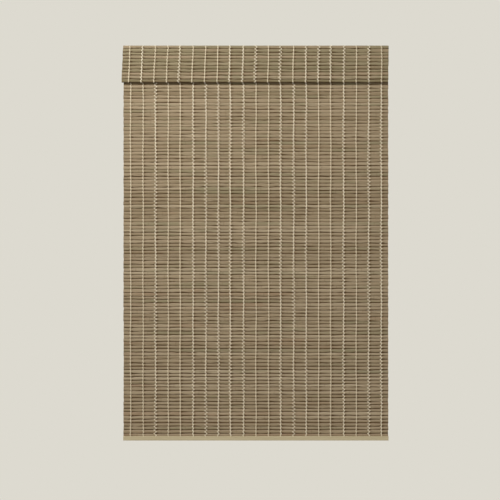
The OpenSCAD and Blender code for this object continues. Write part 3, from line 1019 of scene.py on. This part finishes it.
    def slat_points(self) -> tuple[np.ndarray, dict[str, np.ndarray]]:
        """Slats as a section carried along X, whose height, place, thickness and tilt wander along the slat.

        The section is a mix of its clear and touching forms. The share of each wanders too, and the slats touch less
        the lower they hang.

        Returns:
            Points of slat, station, corner and coordinate, and the numbers that the finish reads.
        """
        weave, rng = self.weave, self.rng
        count = self.last - self.first
        along = np.linspace(0.0, 1.0, self.segments + 1)
        trim = rng.uniform(0.0, self.trim, (2, count, 1))
        x = (self.left + trim[0]) + (self.right - self.left - trim.sum(axis=0)) * along
        lines = self.slat_lines(along)
        middle = ((lines[:-1] + lines[1:]) / 2)[..., None]
        height = (lines[:-1] - lines[1:])[..., None]
        ceiling = weave.top - self.first * weave.pitch - self.fold_gap
        tilt = rng.normal(0.0, self.tilt, (count, 1)) + drift(rng, count, along) * self.tilt
        tilt = np.clip(tilt, -self.tilt_limit, self.tilt_limit)[..., None]
        swell = drift(rng, count, along, self.thick_waves) * self.thick_wander
        thick = weave.half_slat * weave.bulge * (1.0 + swell[..., None])
        touch = self.slat_touch(along)
        section = self.SECTION + touch[..., None] * (self.CLOSED - self.SECTION)
        z = np.clip(middle + height * section[..., 0], self.lower_end(), ceiling)
        y = weave.depth + thick * section[..., 1] + (z - middle) * tilt
        limit = weave.half_slat * self.depth_limit
        y = np.clip(y, weave.depth - limit, weave.depth + limit)
        shape = z.shape
        # Edge darkness: partly stain, partly painted shade, which is stronger where the slats stand clear of each
        # other
        edge = self.EDGE + touch * (self.CLOSED_EDGE - self.EDGE)
        self.reach_folds(y, z, edge)
        points = np.stack([np.broadcast_to(x[..., None], shape), y, z], axis=-1)
        numbers = {
            "tone": np.broadcast_to(self.slat_tones(), shape),
            "warmth": np.broadcast_to(self.slat_warmth(), shape),
            "seed": np.broadcast_to(rng.uniform(0.0, 1.0, (count, 1, 1)), shape),
            "edge": edge,
            "rim": self.RIM * (1.0 - self.rim_close * touch),
            "warp": (points[..., 0] - weave.warp_x[0]) / weave.warp_pitch,
        }
        return points, numbers

    def build(self) -> None:
        """Makes the section's slats and yarns in place of its CAD solids."""
        points, numbers = self.slat_points()
        slats = mesh_piece(f"{self.name}_bamboo", self.settle(points), self.bamboo, numbers)
        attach(slats, self.body)
        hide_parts(f"{self.name}_slats")
        place = self.yarn_places()
        points = self.weave.yarns(place)
        yarns = mesh_piece(f"{self.name}_yarn", self.settle(points), self.yarn,
                           self.weave.loose_yarns(points), place * self.weave.pitch)
        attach(yarns, self.body)
        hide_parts(f"{self.name}_warps")

    def yarn_places(self) -> np.ndarray:
        """Stations of the section's own yarns, short of the fold lines, where bent yarns take over."""
        start = self.first + (self.yarn_inset if self.first > 0 else self.top_inset)
        return self.weave.places(start, self.last - self.yarn_inset)


@dataclass
class Head(Mat):
    """The fixed section behind the valance, whose slats are browner, as painted shade on the strip that shows under
    the valance.
    """

    # Browner slats are painted shade: only the strip under the valance's lower edge shows
    tone_top: float = 0.05


@dataclass
class Hem(Mat):
    """The last section, whose last slat ends in the bottom rail's groove and whose yarns end at its top."""

    def lower_end(self) -> float:
        """Height of the last slat's end, in the groove."""
        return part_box("hem_slats")[0][2]

    def yarn_places(self) -> np.ndarray:
        """Stations down to the top of the bottom rail."""
        rail_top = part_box("bottom_rail")[1][2]
        return self.weave.places(self.first + self.yarn_inset, (self.weave.top - rail_top) / self.weave.pitch)


@dataclass
class Valance(Mat):
    """Short mat in front of the head: its last slat is tucked under, and its lower left corner swings out."""

    touch_top: float = 0.42
    warmth_top: float = -0.38
    tone_lift: float = 0.03
    tucked_tone: float = 0.12
    tuck: float = math.radians(8)
    swing: float = 7.0 * MM
    right_swing: float = 0.1
    end_inset: float = 0.1
    knot_size: float = 2.2 * MM
    knot_sizes: tuple = (0.8, 1.2)
    knot_flatness: float = 0.7
    knot_stretch: float = 1.2
    knot_stand: float = 0.9
    knot_inset: float = 0.16
    knot_yarn: float = 8.8 * MM
    knot_pole: float = 0.12
    knot_rings: int = 7
    knot_corners: int = 8

    def __post_init__(self) -> None:
        """Takes the valance's width and slat count from its CAD slats."""
        low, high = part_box("valance_slats")
        self.left, self.right = low[0], high[0]
        self.first = 0
        self.last = round((self.weave.top - low[2]) / self.weave.pitch)

    def settle(self, points: np.ndarray) -> np.ndarray:
        """Turns all below the last slat's top edge about that edge, then shears each point to the left.

        The shear grows with the drop from the top, and from a small share of the swing at the right end to the full
        swing at the left.

        Args:
            points: points with their coordinates last.

        Returns:
            The settled points.
        """
        edge = self.weave.top - (self.last - 1) * self.weave.pitch
        drop = np.maximum(edge - points[..., 2], 0.0)
        off = np.where(drop > 0, points[..., 1] - self.weave.depth, 0.0)
        y = points[..., 1] + drop * math.sin(self.tuck) + off * (math.cos(self.tuck) - 1)
        z = points[..., 2] + drop * (1 - math.cos(self.tuck)) + off * math.sin(self.tuck)
        down = (self.weave.top - z) / (self.weave.top - edge)
        share = (self.right - points[..., 0]) / (self.right - self.left)
        x = points[..., 0] - self.swing * down * (self.right_swing + (1.0 - self.right_swing) * share)
        return np.stack([x, y, z], axis=-1)

    def fold_depths(self) -> tuple[list[float], list[float]]:
        """No depths, because the valance has no fold line."""
        return [], []

    def slat_tones(self) -> np.ndarray:
        """Tones of a mat's slats, a little paler than the shade's, with the tucked slat the brownest.

        Returns:
            The tones, from 0 for brown to 1 for pale.
        """
        tones = super().slat_tones() + self.tone_lift
        tones[-1] = self.tucked_tone
        return tones

    def yarn_places(self) -> np.ndarray:
        """Stations from the top edge to the lower edge."""
        return self.weave.places(self.top_inset, self.last - self.end_inset)

    def build(self) -> None:
        """Makes the slats, the yarns and the knots that end each pair of yarns."""
        super().build()
        knots = mesh_piece("valance_knots", self.settle(self.knot_points()), self.yarn,
                           along=np.linspace(0.0, self.knot_yarn, self.knot_rings))
        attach(knots, self.body)

    def knot_points(self) -> np.ndarray:
        """Knots as rings whose radius follows a sine from pole to pole, flattened, and stretched downwards.

        Returns:
            Points of knot, ring, corner and coordinate.
        """
        weave = self.weave
        polar = np.linspace(self.knot_pole, math.pi - self.knot_pole, self.knot_rings)[:, None]
        angle = np.arange(self.knot_corners) * (math.tau / self.knot_corners)
        size = self.knot_size * self.rng.uniform(*self.knot_sizes, (len(weave.warp_x), 1, 1))
        front = weave.depth - weave.half_slat * self.knot_stand
        middle = weave.top - (self.last - self.knot_inset) * weave.pitch
        x = weave.warp_x[:, None, None] + size * np.sin(polar) * np.cos(angle)
        y = front + size * self.knot_flatness * np.sin(polar) * np.sin(angle)
        z = middle + size * self.knot_stretch * np.cos(polar) + 0 * angle
        return np.stack([x, y, z], axis=-1)


@dataclass
class FoldYarns:
    """Short lengths of every yarn across the shade's fold lines."""

    weave: Weave
    mats: list[Mat]
    yarn: Material
    bend_half: float = 0.1
    stations: tuple = (-1.0, -0.64, -0.36, -0.18, 0.0, 0.18, 0.36, 0.64, 1.0)

    def build(self) -> None:
        """Makes one piece at each fold line."""
        for above, below in zip(self.mats, self.mats[1:]):
            line = above.last
            place = line + above.yarn_inset * np.array(self.stations)
            points = self.weave.yarns(place)
            piece = mesh_piece(f"{below.name}_bent_yarn", points, self.yarn,
                               self.weave.loose_yarns(points), place * self.weave.pitch)
            start, end = (self.weave.top - (line + s * self.bend_half) * self.weave.pitch for s in (-1, 1))
            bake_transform(piece)


@dataclass
class Shade:
    """The whole hanging mat: its head, its pleats and its hem, woven with one set of yarns."""

    bamboo: Material
    yarn: Material
    slat_gap: float = 1.3 * MM
    half_slat: float = 1.2 * MM
    half_yarn: float = 1.4 * MM
    pitch: float = 14.5 * MM
    valance_pitch: float = 13.8 * MM
    warp_count: int = 21

    def weave_for(self, name: str, pitch: float, seed: int) -> Weave:
        """Weave that lies where a mat's CAD slats and yarns are.

        Args:
            name: the mat's name.
            pitch: distance from one slat to the next.
            seed: seed of its irregularities.

        Returns:
            The weave.
        """
        low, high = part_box(f"{name}_slats")
        yarn_low, yarn_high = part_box(f"{name}_warps")
        return Weave(
            top=high[2] + self.slat_gap / 2,
            pitch=pitch,
            depth=(yarn_low[1] + yarn_high[1]) / 2,
            warp_x=np.linspace(yarn_low[0] + self.half_yarn, yarn_high[0] - self.half_yarn, self.warp_count),
            rng=np.random.default_rng(seed),
            half_slat=self.half_slat,
        )

    def build(self) -> None:
        """Makes the valance, every section of the shade and the bent yarns between them."""
        weave = self.weave_for("head", self.pitch, SHADE_SEED)
        mats = []
        for i, name in enumerate(SHADE_SECTIONS):
            kind = {"head": Head, "hem": Hem}.get(name, Mat)
            body = HEADRAIL_BODY if name == "head" else name
            rng = np.random.default_rng(FIRST_SECTION_SEED + i)
            mats.append(kind(name, body, weave, rng, self.bamboo, self.yarn))
        weave.folds = np.array([mat.last for mat in mats[:-1]])
        for mat in mats:
            mat.build()
        FoldYarns(weave, mats, self.yarn).build()
        front = self.weave_for("valance", self.valance_pitch, VALANCE_SEED)
        rng = np.random.default_rng(VALANCE_SLAT_SEED)
        Valance("valance", HEADRAIL_BODY, front, rng, self.bamboo, self.yarn).build()


@dataclass
class Hardware:
    """Headrail, brackets, lift gear, clamp batten and bottom rail, whose CAD solids keep their shape."""

    def dress(self) -> None:
        """Gives each solid its finish by the record's material slot."""
        shaft_low, shaft_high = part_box("lift_shaft")
        middle = [(a + b) / 2 for a, b in zip(shaft_low, shaft_high)]
        finishes = {
            "rail_paint": RAIL_PAINT.material(),
            "zinc": ZINC.material(),
            "nylon": NYLON.material(),
            "spring_steel": SpringTurns(middle[1], middle[2]).material(),
            "pale_wood": PALE_WOOD.material(),
            "tape": HookTape().material(),
        }
        for part in frame["record"]["subparts"]:
            if part["material_slot"] in finishes:
                self.paint(part["node"], finishes[part["material_slot"]])

    @staticmethod
    def paint(node: str, finish: Material) -> None:
        """Puts a finish on every material slot of a CAD node.

        Args:
            node: the node's name.
            finish: the material.
        """
        piece = frame["nodes"][node]
        for place in piece.material_slots:
            place.link = "OBJECT"
            place.material = finish
        log.info("%s: %s", node, finish.name)


@dataclass(frozen=True)
class Lamp:
    """A soft area lamp: its place from the blind's middle and its size, in metres, its watts and its linear colour."""

    name: str
    away: tuple
    size: tuple
    power: float
    colour: tuple


@dataclass
class Studio:
    """Pale floor, soft lamps, pale surround, and a camera square to the blind."""

    frame_px: float = 500.0
    blind_left_px: float = 123.0
    blind_right_px: float = 388.8
    blind_middle_px: float = 243.1
    distance: float = 4.0
    sensor_mm: float = 36.0
    surround: tuple = linear(221, 218, 208)
    soft_colour: tuple = (1.0, 0.98, 0.95, 1.0)
    soft_strength: float = 0.19
    lamps: tuple = (
        Lamp("key", (-1.95, -2.6, 2.9), (1.3, 0.8), 186.0, (1.0, 0.97, 0.93)),
        Lamp("fill", (2.2, -3.2, -0.2), (2.2, 2.2), 24.0, (1.0, 0.98, 0.96)),
        Lamp("back", (1.4, 2.9, 1.5), (2.2, 1.8), 115.0, (1.0, 0.98, 0.95)),
    )
    floor_drop: float = 0.72
    floor_radii: tuple = (0.05, 0.5, 1.0, 1.25, 1.3)
    floor_sinks: tuple = (0.0, 0.0, 0.0, 0.002, 0.02)
    floor_sides: int = 64
    floor_patches: Grain = Grain(3.0, 3.0, 1.0)
    floor_stops: tuple = (0.3, 0.7)
    floor_tints: tuple = (linear(212, 209, 200), linear(219, 216, 207))
    floor_roughness: float = 0.8
    fade_from: float = 0.35
    fade_width: float = 0.85
    low: np.ndarray = field(init=False)
    high: np.ndarray = field(init=False)
    middle: np.ndarray = field(init=False)

    def build(self, low: list[float], high: list[float]) -> None:
        """Sets up the floor, the lamps, the surround and the camera.

        Args:
            low: lowest corner of the blind.
            high: highest corner of the blind.
        """
        self.low, self.high = np.array(low), np.array(high)
        self.middle = (self.low + self.high) / 2
        self.add_floor()
        self.add_surround()
        for lamp in self.lamps:
            self.add_lamp(lamp)
        self.add_camera()

    def add_floor(self) -> None:
        """Round pale floor under the blind, in rings of growing radius whose outer ones sink a little."""
        radius = np.array(self.floor_radii)[:, None]
        sink = np.array(self.floor_sinks)[:, None]
        angle = np.linspace(0.0, math.tau, self.floor_sides, endpoint=False)
        x = self.middle[0] + radius * np.cos(angle)
        y = self.middle[1] + radius * np.sin(angle)
        z = self.low[2] - self.floor_drop - sink + 0 * angle
        points = np.stack([x, y, z], axis=-1)[None]
        mesh_piece("floor", points, self.floor_finish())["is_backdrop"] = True

    def floor_finish(self) -> Material:
        """Pale matt paint that fades into the surround with the distance from the floor's middle.

        Returns:
            The material.
        """
        g = Graph("floor")
        x, y, z = g.place()
        tint = g.ramp(g.noise(self.floor_patches, x, y, z), self.floor_stops, self.floor_tints)
        away = ((x - float(self.middle[0])) ** 2.0 + (y - float(self.middle[1])) ** 2.0) ** 0.5
        fade = away.past(self.fade_from, 1 / self.fade_width) * g.seen()
        plain = g.node("ShaderNodeEmission", inputs={"Color": self.surround})
        blend = g.node("ShaderNodeMixShader", inputs={0: fade, 1: g.shader.outputs[0], 2: plain.outputs[0]})
        g.feed(g.output.inputs[0], blend.outputs[0])
        return g.finish(Base_Color=tint, Roughness=self.floor_roughness)

    def add_surround(self) -> None:
        """World that lights softly, and shows a plain pale colour to the camera and in reflections."""
        world = bpy.data.worlds.new("surround")
        bpy.context.scene.world = world
        nodes = Nodes(world)
        soft = nodes.node("ShaderNodeBackground", inputs={"Color": self.soft_colour, "Strength": self.soft_strength})
        plain = nodes.node("ShaderNodeBackground", inputs={"Color": self.surround})
        chosen = {0: nodes.seen(), 1: soft.outputs[0], 2: plain.outputs[0]}
        choose = nodes.node("ShaderNodeMixShader", inputs=chosen)
        nodes.node("ShaderNodeOutputWorld", inputs={0: choose.outputs[0]})

    def add_lamp(self, lamp: Lamp) -> None:
        """Adds a lamp that faces the blind's middle.

        Args:
            lamp: what it is and where it goes.
        """
        data = bpy.data.lights.new(lamp.name, "AREA")
        data.shape = "RECTANGLE"
        data.size, data.size_y = lamp.size
        data.energy = lamp.power
        data.color = lamp.colour
        self.aim(bpy.data.objects.new(lamp.name, data), self.middle + np.array(lamp.away), self.middle)

    def add_camera(self) -> None:
        """Level camera whose middle ray meets the mat where the middle of the photograph does."""
        scale = (self.high[0] - self.low[0]) / (self.blind_right_px - self.blind_left_px)
        middle_px = (self.blind_left_px + self.blind_right_px) / 2
        target = self.middle + np.array([
            (self.frame_px / 2 - middle_px) * scale, 0.0, (self.blind_middle_px - self.frame_px / 2) * scale
        ])
        target[1] = self.low[1]
        data = bpy.data.cameras.new("camera")
        data.sensor_width = self.sensor_mm
        data.lens = self.sensor_mm * self.distance / (self.frame_px * scale)
        camera = bpy.data.objects.new("camera", data)
        self.aim(camera, target - np.array([0.0, self.distance, 0.0]), target)
        bpy.context.scene.camera = camera

    @staticmethod
    def aim(thing: Object, place: np.ndarray, target: np.ndarray) -> None:
        """Adds a lamp or camera to the scene.

        Args:
            thing: the lamp or camera.
            place: where it goes.
            target: what it looks at.
        """
        bpy.context.scene.collection.objects.link(thing)
        thing.location = place
        thing.rotation_euler = Vector(target - place).to_track_quat("-Z", "Y").to_euler()


def main() -> None:
    """Builds the blind's pieces in order, then the studio."""
    logging.basicConfig(level=logging.INFO, format="%(message)s")
    cad_low, cad_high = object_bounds()
    bpy.context.scene.view_settings.view_transform = "Standard"
    Shade(Bamboo().material(), Yarn().material()).build()
    Hardware().dress()
    Studio().build(list(cad_low), list(cad_high))


if __name__ == "__main__":
    main()
